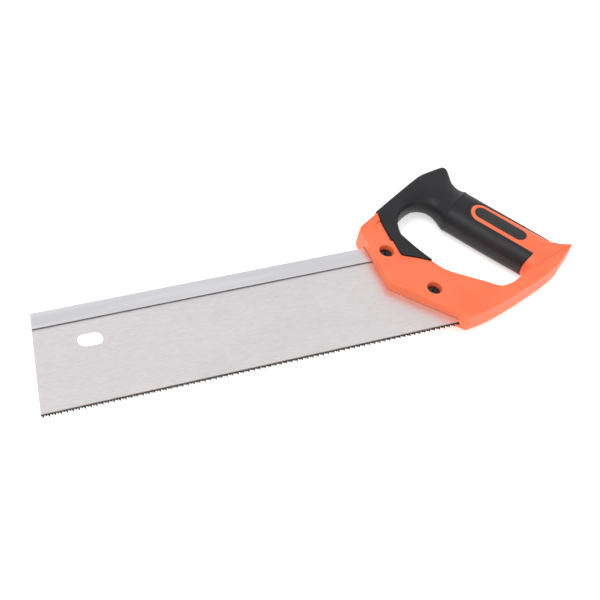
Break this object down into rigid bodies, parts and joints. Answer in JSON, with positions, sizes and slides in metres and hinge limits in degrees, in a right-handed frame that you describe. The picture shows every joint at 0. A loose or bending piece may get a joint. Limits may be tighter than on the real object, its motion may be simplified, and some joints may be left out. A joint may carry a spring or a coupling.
{
  "type": "back saw",
  "caption": "Fine-toothed back saw: a steel blade stiffened by a folded back, in a closed two-material handle with a slanted grip.",
  "frame": {"origin": "middle of the base of the bounding box, with the saw lying on its left side", "axes": "+X from the toe to the handle, +Y from the tooth tips to the back, +Z through the blade's thickness and up"},
  "size_m": [0.4142, 0.1366, 0.026],
  "materials": {
    "blade_steel": "satin, lengthwise grain",
    "back_steel": "bright rolled",
    "handle_plastic": "satin moulded",
    "soft_cover": "matte moulded",
    "black_steel": "black oxide"
  },
  "bodies": {
    "root": {"saw_blade": "blade_steel", "blade_back": "back_steel", "handle_core": "handle_plastic", "grip_sleeve": "soft_cover", "horn_cover": "soft_cover", "guard_pad": "soft_cover", "right_badge": "soft_cover", "left_badge": "soft_cover", "upper_screw": "black_steel", "lower_screw": "black_steel", "upper_sleeve_nut": "black_steel", "lower_sleeve_nut": "black_steel"}
  },
  "joints": []
}
